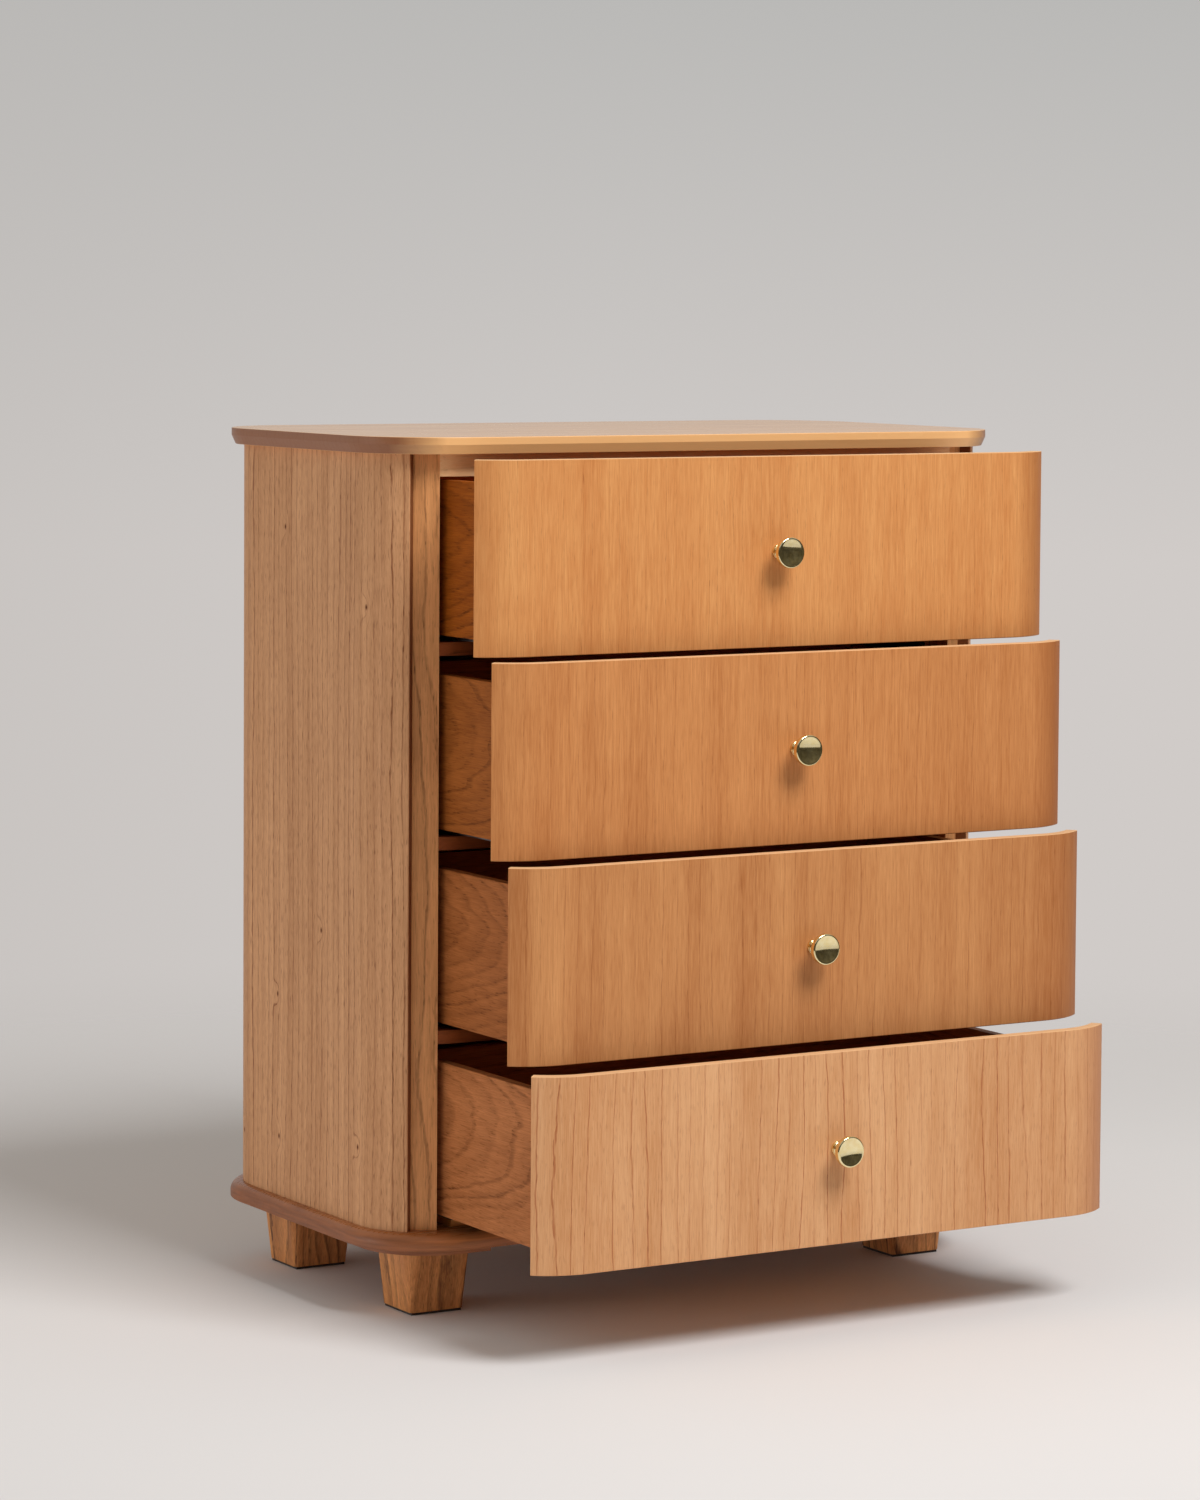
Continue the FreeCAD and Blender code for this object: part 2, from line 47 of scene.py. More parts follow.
# Sizes of the chest that the veneers follow, in millimetres
MM_PER_METRE = 1000
CORNER_RADIUS = 84
FLAT_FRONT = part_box("side_panel_right")[1].x * MM_PER_METRE - CORNER_RADIUS
FLAT_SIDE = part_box("back_panel")[1].y * MM_PER_METRE - CORNER_RADIUS


# Shader tools


def linear(text):
    """An sRGB hex colour as the linear colour that a socket takes."""
    channels = [int(text[i : i + 2], 16) / 255 for i in (1, 3, 5)]
    return [c / 12.92 if c <= 0.04045 else ((c + 0.055) / 1.055) ** 2.4 for c in channels] + [1.0]


def add(tree, kind, *values, output=0, **named):
    """Add one shader node and return one of its outputs.

    Values feed its inputs in order. A named one is a property of the node or, with spaces for its
    underscores, an input. None leaves an input as it is.
    """
    node = tree.nodes.new(f"ShaderNode{kind}")
    for name, value in named.items():
        if hasattr(node, name):
            setattr(node, name, value)
    shown = [socket for socket in node.inputs if socket.enabled]
    by_name = {socket.name.replace(" ", "_"): socket for socket in reversed(shown)}
    fed = list(zip(shown, values))
    fed += [(by_name[name], value) for name, value in named.items() if not hasattr(node, name)]
    for socket, value in fed:
        if isinstance(value, bpy.types.NodeSocket):
            tree.links.new(value, socket)
        elif value is not None:
            socket.default_value = value
    return [socket for socket in node.outputs if socket.enabled][output]


def new_material(name):
    """An empty material and its node tree."""
    material = bpy.data.materials.new(name)
    material.use_nodes = True
    material.node_tree.nodes.clear()
    return material, material.node_tree


def position(tree):
    """The three coordinates of a point of a piece at rest, in millimetres."""
    place = add(tree, "TexCoord", output=3)
    millimetres = add(tree, "VectorMath", place, operation="SCALE", Scale=MM_PER_METRE)
    return add(tree, "SeparateXYZ", millimetres).node.outputs


# Where the grain runs. Each of these gives coordinates in millimetres: across the grain, along it,
# through the board, and the one that counts growth rings.


def bent_front_grain(drawer):
    """Upright grain of a drawer front, which follows the bends at both ends."""
    centre_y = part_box(f"drawer_{drawer}_front")[0].y * MM_PER_METRE + CORNER_RADIUS

    def grain(tree):
        x, y, z = position(tree)
        width = add(tree, "Math", x, operation="ABSOLUTE")
        straight = add(tree, "Math", width, FLAT_FRONT, operation="MINIMUM")
        out = add(tree, "Math", width, FLAT_FRONT, operation="SUBTRACT")
        out = add(tree, "Math", out, 0.0, operation="MAXIMUM")
        ahead = add(tree, "Math", centre_y, y, operation="SUBTRACT")
        turn = add(tree, "Math", out, ahead, operation="ARCTAN2")
        reach = add(tree, "Math", turn, CORNER_RADIUS, straight, operation="MULTIPLY_ADD")
        side = add(tree, "Math", x, operation="SIGN")
        across = add(tree, "Math", reach, side, operation="MULTIPLY")
        return across, z, y, across

    return grain


def bent_side_grain(tree):
    """Upright grain of a side panel, which follows both of its bends."""
    x, y, z = position(tree)
    out = add(tree, "Math", x, operation="ABSOLUTE")
    out = add(tree, "Math", out, FLAT_FRONT, operation="SUBTRACT")
    across = add(tree, "Clamp", y, -FLAT_SIDE, FLAT_SIDE)
    for end in (-1, 1):
        past = add(tree, "Math", y, end, -FLAT_SIDE, operation="MULTIPLY_ADD")
        past = add(tree, "Math", past, 0.0, operation="MAXIMUM")
        turn = add(tree, "Math", past, out, operation="ARCTAN2")
        across = add(tree, "Math", turn, end * CORNER_RADIUS, across, operation="MULTIPLY_ADD")
    return across, z, x, across


def level_grain(tree):
    """Grain along the width, cut flat, for the top and other level boards."""
    x, y, z = position(tree)
    return y, x, z, y


def upright_grain(tree):
    """Upright grain of a flat board that faces front or back."""
    x, y, z = position(tree)
    return x, z, y, x


def log_grain(along, pith, lean=0.0):
    """Grain of solid timber: rings round a pith line, which leans a little through the piece."""

    def grain(tree):
        axes = position(tree)
        length = axes[along]
        first, second = [axes[i] for i in range(3) if i != along]
        a = add(tree, "Math", first, -pith[0], operation="ADD")
        a = add(tree, "Math", length, lean, a, operation="MULTIPLY_ADD")
        b = add(tree, "Math", second, -pith[1], operation="ADD")
        spread = add(tree, "VectorMath", add(tree, "CombineXYZ", a, b), operation="LENGTH")
        return first, length, second, spread

    return grain


# Sizes of the wood's figure in millimetres, across and along the grain. Threads, flecks and pores are drawn
# about twice as wide as real ones, so that they show.
SWAY_MM = (90, 420)
JITTER_MM = (14, 24)
DASH_MM = (2.5, 26)
UNEVEN_LENGTH = 2500
BAND_LENGTH = 700
THREAD_LENGTH = 90
FLECK_WIDTH = 0.9
CLOUD_MM = (34, 52)
PORE_MM = (1.3, 12)
KNOT_CELL_MM = (95, 150)
KNOT_SHARE = 0.45
EDGE_STREAK_MM = (50, 50, 3)
# Where the painted shade towards a front's right begins and where it is full, in millimetres across the grain
RIGHT_SHADE_FROM = 60
RIGHT_SHADE_TO = 300

# How far apart the figures of two pieces lie in the noise
PIECE_STEP = 137.0
KNOT_STEP = 211.0
YEAR_STEP = 17.0

# The relief of the grain under the oil: its depth in metres, and how much of it shows
GRAIN_DEPTH = 0.0002
GRAIN_STRENGTH = 0.3


def streaks(tree, place, width, length, detail=2.0):
    """Noise from 0 to 1, drawn out along the grain, with streaks of that width and length in millimetres."""
    stretch = (1 / width, 1 / length, 1 / width)
    stretched = add(tree, "VectorMath", place, stretch, operation="MULTIPLY")
    noise = add(tree, "TexNoise", stretched, Scale=1.0, Detail=detail)
    return add(tree, "MapRange", noise, 0.28, 0.72, 0.0, 1.0)


def growth_lines(tree, place, ring, look, seed):
    """Dark late-wood lines, 0 to 1: unevenly spaced, wandering, each of its own strength and broken."""
    for size, sway in ((SWAY_MM, look["wander"]), (JITTER_MM, look["jitter"])):
        ring = add(tree, "Math", streaks(tree, place, *size), sway, ring, operation="MULTIPLY_ADD")
    uneven = streaks(tree, place, look["spacing"] * 3, UNEVEN_LENGTH)
    phase = add(tree, "Math", ring, look["spacing"], operation="DIVIDE")
    phase = add(tree, "Math", uneven, 0.6, phase, operation="MULTIPLY_ADD")
    share = add(tree, "Math", phase, operation="FRACT")
    year = add(tree, "Math", phase, operation="FLOOR")
    year = add(tree, "Math", year, seed * YEAR_STEP, operation="ADD")
    strength = add(tree, "TexWhiteNoise", year, noise_dimensions="1D")
    strength = add(tree, "MapRange", strength, 0.0, 1.0, 0.3, 1.0)
    width = look["line_mm"] / look["spacing"]
    late = add(tree, "MapRange", share, 0.5 * width, width, 1.0, 0.0)
    early = add(tree, "MapRange", share, 0.4, 1.0, 0.0, look["early"])
    line = add(tree, "Math", late, early, operation="MAXIMUM")
    line = add(tree, "Math", line, strength, operation="MULTIPLY")
    dashes = add(tree, "MapRange", streaks(tree, place, *DASH_MM, 3.0), 0.2, 0.55, look["broken"], 1.0)
    return add(tree, "Math", line, dashes, operation="MULTIPLY")


def pin_knots(tree, across, along):
    """How near a point is to one of a few pin knots: 1 in the knot, and a wider 1 where the grain bends."""
    axes = zip((across, along), KNOT_CELL_MM)
    cell = [add(tree, "Math", axis, 1 / size, operation="MULTIPLY") for axis, size in axes]
    cell = add(tree, "CombineXYZ", *cell)
    knots = add(tree, "TexVoronoi", cell, Scale=1.0, voronoi_dimensions="2D").node.outputs
    some = add(tree, "SeparateColor", knots["Color"])
    some = add(tree, "Math", some, KNOT_SHARE, operation="LESS_THAN")
    core = add(tree, "MapRange", knots["Distance"], 0.008, 0.028, 1.0, 0.0)
    bend = add(tree, "MapRange", knots["Distance"], 0.0, 0.16, 1.0, 0.0, interpolation_type="SMOOTHSTEP")
    return [add(tree, "Math", part, some, operation="MULTIPLY") for part in (core, bend)]


def wood(name, grain, look, seed=0):
    """A timber finish: broad bands, fine threads, growth lines, pores, and a satin oil film."""
    material, tree = new_material(name)
    across, along, through, ring = grain(tree)
    through = add(tree, "Math", through, seed * PIECE_STEP, operation="ADD")
    place = add(tree, "CombineXYZ", across, along, through)
    if look["knots"]:
        shifted = add(tree, "Math", across, seed * KNOT_STEP, operation="ADD")
        knot, bend = pin_knots(tree, shifted, along)
        ring = add(tree, "Math", bend, look["spacing"] * 1.2, ring, operation="MULTIPLY_ADD")
    line = growth_lines(tree, place, ring, look, seed)

    # Bands of tone, threads, flecks of fibre, and the soft clouds that make the wood shimmer
    band = streaks(tree, place, look["band_mm"], BAND_LENGTH)
    thread = streaks(tree, place, look["thread_mm"], THREAD_LENGTH, 3.0)
    fleck = streaks(tree, place, FLECK_WIDTH, look["fleck_mm"], 2.0)
    cloud = streaks(tree, place, *CLOUD_MM)
    tone = 0.5
    for part, weight in (
        (band, look["band"]), (thread, look["thread"]), (fleck, look["fleck"]), (cloud, look["cloud"]),
    ):
        part = add(tree, "Math", part, weight, -0.5 * weight, operation="MULTIPLY_ADD")
        tone = add(tree, "Math", part, tone, operation="ADD")
    colour = add(tree, "Mix", tone, linear(look["dark"]), linear(look["light"]), data_type="RGBA")
    line_share = add(tree, "Math", line, look["lines"], operation="MULTIPLY")
    colour = add(tree, "Mix", line_share, colour, linear(look["line"]), data_type="RGBA")

    # Open pores, most of them along the growth lines
    pore = add(tree, "MapRange", streaks(tree, place, *PORE_MM, 1.0), 0.72, 0.98, 0.0, look["pores"])
    near_line = add(tree, "Math", line, 0.8, 0.35, operation="MULTIPLY_ADD")
    pore = add(tree, "Math", pore, near_line, operation="MULTIPLY")
    if look["knots"]:
        pore = add(tree, "Math", pore, knot, operation="MAXIMUM")
    colour = add(tree, "Mix", pore, colour, linear(look["pore"]), data_type="RGBA")

    # Painted shade darkens a front's bent ends, the right one more so, and its right part. A board's edges
    # get a painted highlight, its ends darker tones, partly painted shade, and its inward faces painted
    # shade.
    roughness = add(tree, "Math", thread, 0.1, look["rough"] - 0.05, operation="MULTIPLY_ADD")
    facing = add(tree, "SeparateXYZ", add(tree, "NewGeometry", output=1)).node.outputs
    if look["bend"]:
        right = add(tree, "MapRange", facing["X"], 0.05, 0.55, 0.0, look["bend"])
        left = add(tree, "MapRange", facing["X"], -0.45, -0.8, 0.0, 0.5 * look["bend"])
        bent = add(tree, "Math", left, right, operation="MAXIMUM")
        right_shade = add(tree, "MapRange", across, RIGHT_SHADE_FROM, RIGHT_SHADE_TO, 0.0, look["right_shade"])
        bent = add(tree, "Math", bent, right_shade, operation="ADD")
        colour = add(tree, "Mix", bent, colour, linear(look["line"]), data_type="RGBA")
    # Painted shade on faces that look inwards: the panel's end beside the post and its inside
    if look["inner"]:
        half = add(tree, "Math", position(tree)[0], operation="SIGN")
        painted_inward_shade = add(tree, "Math", facing["X"], half, operation="MULTIPLY")
        painted_inward_shade = add(tree, "MapRange", painted_inward_shade, -0.3, -0.6, 0.0, 0.9)
        colour = add(tree, "Mix", painted_inward_shade, colour, linear(look["inner"]), data_type="RGBA")
    # Painted highlight on faces that look up or out, partly a lighter edge of the wood on the fronts. Ends
    # get darker tones, partly end grain and partly painted shade.
    if look["edge"]:
        edge = add(tree, "MapRange", facing["Z"], look["edge_from"], look["edge_to"], 0.0, 0.9)
        painted_edge_tone, darkest = linear(look["edge"]), look["streak"]
        if look["end"]:
            sideways = add(tree, "Math", facing["X"], operation="ABSOLUTE")
            end_share = add(tree, "MapRange", sideways, 0.3, 0.75, 0.0, 1.0)
            painted_edge_tone = add(tree, "Mix", end_share, painted_edge_tone, linear(look["end"]), data_type="RGBA")
            darkest = add(tree, "MapRange", end_share, 0.0, 1.0, look["streak"], look["end_streak"])
        level = add(tree, "VectorMath", place, EDGE_STREAK_MM, operation="DIVIDE")
        noise = add(tree, "TexNoise", level, Scale=1.0, Detail=2.0)
        streak = add(tree, "MapRange", noise, 0.3, 0.7, darkest, 1.0)
        painted_edge_tone = add(tree, "Mix", streak, linear(look["line"]), painted_edge_tone, data_type="RGBA")
        colour = add(tree, "Mix", edge, colour, painted_edge_tone, data_type="RGBA")
        roughness = add(tree, "Math", edge, 0.2, roughness, operation="MULTIPLY_ADD")

    roughness = add(tree, "Math", pore, 0.2, roughness, operation="MULTIPLY_ADD")
    height = add(tree, "Math", thread, 0.4, operation="MULTIPLY")
    for part, weight in ((fleck, 0.3), (line_share, -0.4), (pore, -0.8)):
        height = add(tree, "Math", part, weight, height, operation="MULTIPLY_ADD")
    normal = add(tree, "Bump", Strength=GRAIN_STRENGTH, Distance=GRAIN_DEPTH, Height=height)
    shader = add(tree, "BsdfPrincipled", colour, Roughness=roughness, Normal=normal, IOR=look["ior"])
    add_output(tree, shader)
    return material


def add_output(tree, shader):
    """Give a material its surface."""
    output = tree.nodes.new("ShaderNodeOutputMaterial")
    tree.links.new(shader, output.inputs["Surface"])


# Finishes of the chest
#
# light, dark, line, pore: tones of the wood, of its growth lines and of its pores
# edge, end, inner: tones of faces that look up or out, which carry a painted highlight, of a board's ends,
# darker partly as end grain and partly as painted shade, and of faces that look inwards, which carry painted
# shade
# edge_from, edge_to: how far up a face looks where the edge's tone begins and where it is full
# streak, end_streak: how much of that tone is left in an edge's or an end's dark streaks
# spacing, line_mm, band_mm, thread_mm, fleck_mm: sizes in millimetres; wander, jitter: how far lines stray
# bend, right_shade: how much painted shade darkens a front at its bent ends and towards the right
# the rest: how strong each part of the figure is, from 0 to 1, and the oil's roughness and IOR

# Sliced veneer of a warm, open-grained hardwood under a thin satin oil: straight upright threads,
# soft clouds, and growth lines that differ from leaf to leaf.
FRONT = {
    # The pale tone where a front looks up is partly a lighter edge of the veneer and partly a painted
    # highlight
    "light": "#dda06a", "dark": "#bc7a42", "line": "#8a4419", "pore": "#7a3c18", "edge": "#f2c796",
    "edge_from": 0.35, "edge_to": 0.7, "end": None, "streak": 0.8, "inner": None, "spacing": 11, "wander": 10,
    "jitter": 1.5, "line_mm": 1.6, "early": 0.12, "lines": 0.3, "broken": 0.3, "pores": 0.3, "band": 0.26,
    # Painted shade at the bent ends and towards the right
    "band_mm": 40, "thread": 0.2, "thread_mm": 3.2, "fleck": 0.34, "fleck_mm": 26, "cloud": 0.08, "bend": 0.3,
    "right_shade": 0.0, "rough": 0.42, "ior": 1.3, "knots": False,
}
# Each front's leaf: its tones, and how much painted shade darkens its bent ends and right part
FRONT_LEAVES = {
    1: {"light": "#e8ab6c", "dark": "#bb6f37", "lines": 0.14, "bend": 0.46},
    2: {"light": "#e09f64", "dark": "#ac6633", "lines": 0.2, "bend": 0.45, "right_shade": 0.12},
    3: {"light": "#dca068", "dark": "#a86534", "lines": 0.36, "spacing": 16, "band": 0.42, "bend": 0.36,
        "right_shade": 0.11},
    4: {"light": "#e8b687", "dark": "#c0814e", "line": "#9b4618", "lines": 0.66, "spacing": 17, "wander": 16,
        "pores": 0.5, "early": 0.08, "broken": 0.45, "band": 0.44, "right_shade": 0.07},
}
# The same wood cut on the quarter for the bent sides: browner, with close dark lines, pores and pin knots,
# and painted shade on the faces that look inwards, where the panel's end shows beside the post and inside the
# case.
SIDE = FRONT | {
    "light": "#e6b183", "dark": "#aa754b", "line": "#7a3a18", "pore": "#602c10", "edge": None,
    "inner": "#6e3c1a", "spacing": 12, "line_mm": 1.9, "early": 0.25, "lines": 0.8, "pores": 0.9,
    "band": 0.32, "band_mm": 24, "thread": 0.22, "fleck": 0.3, "fleck_mm": 11, "bend": 0, "rough": 0.5,
    "ior": 1.25, "knots": True,
}
# Pale veneer of the top under a smoother film, which mirrors the room. Its edges are solid wood, with a
# painted highlight where they face out and darker ends, partly end grain and partly painted shade.
TOP = FRONT | {
    "light": "#eec69e", "dark": "#d2a377", "edge": "#ffc684", "edge_from": 0.97, "edge_to": 0.8,
    "end": "#824a25", "streak": 0.98, "end_streak": 0.7, "spacing": 9, "lines": 0.55, "bend": 0,
    "rough": 0.22, "ior": 1.5,
}
# Solid timber of the corner posts, cut flat: broad lines that wander up the post.
POST = FRONT | {
    "light": "#fdb979", "dark": "#c2824e", "line": "#643212", "pore": "#472509", "edge": None, "bend": 0,
    "spacing": 13, "wander": 30, "jitter": 2, "line_mm": 3, "early": 0.45, "lines": 0.52, "pores": 0.5,
}
# Rail under the top, in the shade of its overhang, made pale: painted light where the overhang shades it
PAINTED_LIGHT_RAIL = POST | {"light": "#ffdcae", "dark": "#f4bb80", "lines": 0.12, "pores": 0.2}
# Reddish lippings of the dividers
DIVIDER = POST | {"light": "#a3562a", "dark": "#74381a"}
# Reddish brown solid base: long level streaks on a smooth, well filled nose. The nose and other faces that
# look out carry a painted highlight, and the ends darker tones, partly end grain and partly painted shade.
BASE = POST | {
    "light": "#be7a45", "dark": "#7a4121", "line": "#4a260f", "lines": 0.2, "fleck": 0.12,
    "thread": 0.08, "pores": 0.1, "cloud": 0.3, "rough": 0.28, "ior": 1.5,
    "edge": "#c27844", "edge_from": 0.9, "edge_to": 0.4, "end": "#9a5a30", "streak": 0.55, "end_streak": 0.45,
}
# Solid feet: strong dark rings that show as upright lines on one face and as flames on the next.
FOOT = POST | {
    "light": "#ffb771", "dark": "#a0582a", "line": "#3c1806", "pore": "#321506", "spacing": 10, "wander": 30,
    "jitter": 1.4, "line_mm": 2.6, "early": 0.6, "lines": 0.84, "pores": 0.7, "broken": 0.5,
    "rough": 0.4, "ior": 1.35,
}
# Drawer boxes of a plainer red-brown timber with a thin matt seal: long soft figure along each side.
BOX = FRONT | {
    "line": "#4c2206", "pore": "#4d2407", "edge": None, "bend": 0, "spacing": 9, "wander": 14, "line_mm": 2.5,
    "early": 0.6, "lines": 0.52, "pores": 0.7, "rough": 0.5, "fleck": 0.45, "ior": 1.2,
}
# Each drawer's side boards, darker for the upper drawers: painted shade from the case above them
BOX_LEAVES_PAINTED_SHADE = {
    1: {"light": "#b6641e", "dark": "#813d0b"},
    2: {"light": "#b96e33", "dark": "#844517"},
    3: {"light": "#c07743", "dark": "#884b20"},
    4: {"light": "#d38a56", "dark": "#99592e"},
}
# Rotary-cut plywood of drawer bottoms and dividers: plain, warm and matt.
BOARD = FRONT | {"light": "#e89e54", "dark": "#cc7e3c", "lines": 0.25, "rough": 0.55, "edge": None, "bend": 0}
# Plywood of the back: greyer, with wide wandering figure
BACK = BOARD | {"light": "#d3a06c", "dark": "#b07d4e", "lines": 0.4, "spacing": 14, "wander": 30}


def polished_brass():
    """Turned and polished brass: a clear pale gold mirror with faint turning marks."""
    material, tree = new_material("polished_brass")
    x, y, z = position(tree)
    place = add(tree, "CombineXYZ", x, y, z)
    haze = streaks(tree, place, 6, 6, 3.0)
    marks = streaks(tree, place, 3, 0.12, 1.0)
    colour = add(tree, "Mix", haze, linear("#f0dca2"), linear("#f8ecc0"), data_type="RGBA")
    roughness = add(tree, "Math", haze, 0.05, 0.04, operation="MULTIPLY_ADD")
    normal = add(tree, "Bump", Strength=0.08, Distance=0.00002, Height=marks)
    add_output(tree, add(tree, "BsdfPrincipled", colour, Metallic=1.0, Roughness=roughness, Normal=normal))
    return material


def zinc_steel(name, tone):
    """Rolled steel with a bright zinc plate: soft grey spangle and a dull shine. A dark tone paints shade
    into it, as on the runners.
    """
    material, tree = new_material(name)
    place = add(tree, "CombineXYZ", *position(tree))
    spangle = streaks(tree, place, 5, 9, 3.0)
    scratch = streaks(tree, place, 0.6, 30, 2.0)
    colour = add(tree, "Mix", spangle, linear("#5d5f62"), linear(tone), data_type="RGBA")
    roughness = add(tree, "Math", scratch, 0.25, 0.3, operation="MULTIPLY_ADD")
    normal = add(tree, "Bump", Strength=0.15, Distance=0.00005, Height=scratch)
    add_output(tree, add(tree, "BsdfPrincipled", colour, Metallic=1.0, Roughness=roughness, Normal=normal))
    return material


def dark_felt():
    """Pressed wool felt: nearly black brown, matt, with a fine nap."""
    material, tree = new_material("dark_felt")
    place = add(tree, "CombineXYZ", *position(tree))
    nap = streaks(tree, place, 0.7, 0.7, 3.0)
    colour = add(tree, "Mix", nap, linear("#1b1613"), linear("#3c322b"), data_type="RGBA")
    normal = add(tree, "Bump", Strength=0.6, Distance=0.0004, Height=nap)
    add_output(tree, add(tree, "BsdfPrincipled", colour, Roughness=0.95, Normal=normal, Sheen_Weight=0.3))
    return material


# Pieces with finer shapes than their solids

ARC_STEPS = 10
TURNING_SEGMENTS = 96
SCREW_SEGMENTS = 24
SEAM = 0.000005
SHARP_ANGLE = math.radians(35)


def finished_object(name, shape):
    """Turn a bmesh into an object of the scene."""
    mesh = bpy.data.meshes.new(name)
    shape.to_mesh(mesh)
    shape.free()
    piece = bpy.data.objects.new(name, mesh)
    bpy.context.scene.collection.objects.link(piece)
    return piece


def turned(name, start, steps, place):
    """A turned piece: a profile of lines and arcs in the plane of X and Z, spun round the Z axis.

    A step is a point, or the centre of an arc with its turn in degrees. The finished turning points
    along -Y from its place.
    """
    shape = bmesh.new()
    tip = shape.verts.new((start[0], 0, start[1]))
    for step in steps:
        if len(step) == 2:
            made = bmesh.ops.extrude_vert_indiv(shape, verts=[tip])
            tip = made["verts"][0]
            tip.co = (step[0], 0, step[1])
        else:
            made = bmesh.ops.spin(
                shape, geom=[tip], cent=(step[0], 0, step[1]), axis=(0, 1, 0),
                angle=math.radians(step[2]), steps=ARC_STEPS,
            )
            tip = next(v for v in made["geom_last"] if isinstance(v, bmesh.types.BMVert))
    bmesh.ops.spin(
        shape, geom=shape.verts[:] + shape.edges[:], cent=(0, 0, 0), axis=(0, 0, 1),
        angle=math.tau, steps=TURNING_SEGMENTS, use_merge=True,
    )
    bmesh.ops.remove_doubles(shape, verts=shape.verts, dist=SEAM)
    bmesh.ops.recalc_face_normals(shape, faces=shape.faces)
    matrix = Matrix.Translation(place) @ Matrix.Rotation(math.pi / 2, 4, "X")
    bmesh.ops.transform(shape, verts=shape.verts, matrix=matrix)
    piece = finished_object(name, shape)
    piece.data.shade_smooth()
    piece.data.set_sharp_from_angle(angle=SHARP_ANGLE)
    return piece


# The knob's profile, in metres from the drawer front
KNOB_HEAD = 0.0165
KNOB_LENGTH = 0.026
KNOB_BASE = 0.008
KNOB_BASE_THICKNESS = 0.003
KNOB_STEM = 0.006
KNOB_SHOULDER = 0.0045
KNOB_RIM = 0.003
KNOB_EDGE = 0.0015
KNOB_FACE = 0.0145
KNOB_DISH = 0.0025
BASE_EDGE = 0.0006


def make_knob(n, brass):
    """A polished knob: a small foot, a waisted stem that flares to the head, and a dished face."""
    low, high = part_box(f"drawer_{n}_knob")
    middle = (low + high) / 2
    cove = KNOB_BASE - BASE_EDGE - KNOB_STEM
    rim_back = KNOB_LENGTH - KNOB_EDGE - KNOB_RIM
    flare_end = rim_back - KNOB_SHOULDER
    flare = KNOB_HEAD - KNOB_SHOULDER - KNOB_STEM
    dish_radius = (KNOB_FACE**2 + KNOB_DISH**2) / (2 * KNOB_DISH)
    dish_turn = math.degrees(math.asin(KNOB_FACE / dish_radius))
    foot = KNOB_BASE_THICKNESS
    steps = [
        (KNOB_BASE, 0),
        (KNOB_BASE, foot - BASE_EDGE),
        (KNOB_BASE - BASE_EDGE, foot - BASE_EDGE, -90),
        (KNOB_STEM + cove, foot + cove, 90),
        (KNOB_STEM, flare_end - flare),
        (KNOB_STEM + flare, flare_end - flare, 90),
        (KNOB_HEAD - KNOB_SHOULDER, rim_back, -90),
        (KNOB_HEAD, KNOB_LENGTH - KNOB_EDGE),
        (KNOB_HEAD - KNOB_EDGE, KNOB_LENGTH - KNOB_EDGE, -90),
        (KNOB_FACE, KNOB_LENGTH),
        (0, KNOB_LENGTH - KNOB_DISH + dish_radius, dish_turn),
    ]
    knob = turned(f"drawer_{n}_turned_knob", (0, 0), steps, (middle.x, high.y, middle.z))
    knob.data.materials.append(brass)
    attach(knob, f"drawer_{n}")
    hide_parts(f"drawer_{n}_knob")


# Shares of a screw head's radius or height
CROSS_REACH = 0.5
CROSS_FLAT = 0.7
CROSS_TAPER = 0.6
CROSS_DEPTH = 0.6
HEAD_ROUND = ((0.9, 0.12), (1.0, 0.4), (1.0, 1.0))


def make_screw(shape, place, head, height, shank, reach):
    """Add a pan-head screw with a cross recess to a bmesh.

    Its head, of that radius and height, stands on its place towards +Y. Its shank reaches back from there.
    """
    start = len(shape.verts)
    cross = bmesh.ops.create_grid(shape, x_segments=3, y_segments=3, size=CROSS_REACH * head)["verts"]
    faces = {face for v in cross for face in v.link_faces}
    arms = [f for f in faces if min(abs(c) for c in f.calc_center_median().xy) < 0.1 * head]
    bmesh.ops.delete(shape, geom=list(faces.difference(arms)), context="FACES")
    rim = {edge for f in arms for edge in f.edges if edge.is_boundary}
    ring = bmesh.ops.create_circle(shape, segments=SCREW_SEGMENTS, radius=CROSS_FLAT * head)["verts"]
    ring = {edge for v in ring for edge in v.link_edges}
    bmesh.ops.bridge_loops(shape, edges=list(rim | ring))
    recess = bmesh.ops.extrude_face_region(shape, geom=arms, use_keep_orig=False)["geom"]
    floor = [v for v in recess if isinstance(v, bmesh.types.BMVert)]
    bmesh.ops.delete(shape, geom=[f for f in arms if f.is_valid], context="FACES")
    bmesh.ops.scale(shape, verts=floor, vec=(CROSS_TAPER, CROSS_TAPER, 1))
    bmesh.ops.translate(shape, verts=floor, vec=(0, 0, -CROSS_DEPTH * height))
    shank_steps = ((shank / head, 1.0), (shank / head, 1.0 + reach / height))
    for wide, deep in HEAD_ROUND + shank_steps:
        made = bmesh.ops.extrude_edge_only(shape, edges=list(ring))["geom"]
        moved = [v for v in made if isinstance(v, bmesh.types.BMVert)]
        for v in moved:
            radius = v.co.xy.length
            v.co = (v.co.x / radius * wide * head, v.co.y / radius * wide * head, -deep * height)
        ring = {e for e in made if isinstance(e, bmesh.types.BMEdge) and set(e.verts).issubset(moved)}
    bmesh.ops.holes_fill(shape, edges=list(ring), sides=0)
    shape.verts.ensure_lookup_table()
    turn = Matrix.Rotation(-math.pi / 2, 4, "X")
    lift = Matrix.Translation((0, 0, height))
    bmesh.ops.transform(shape, verts=shape.verts[start:], matrix=Matrix.Translation(place) @ turn @ lift)


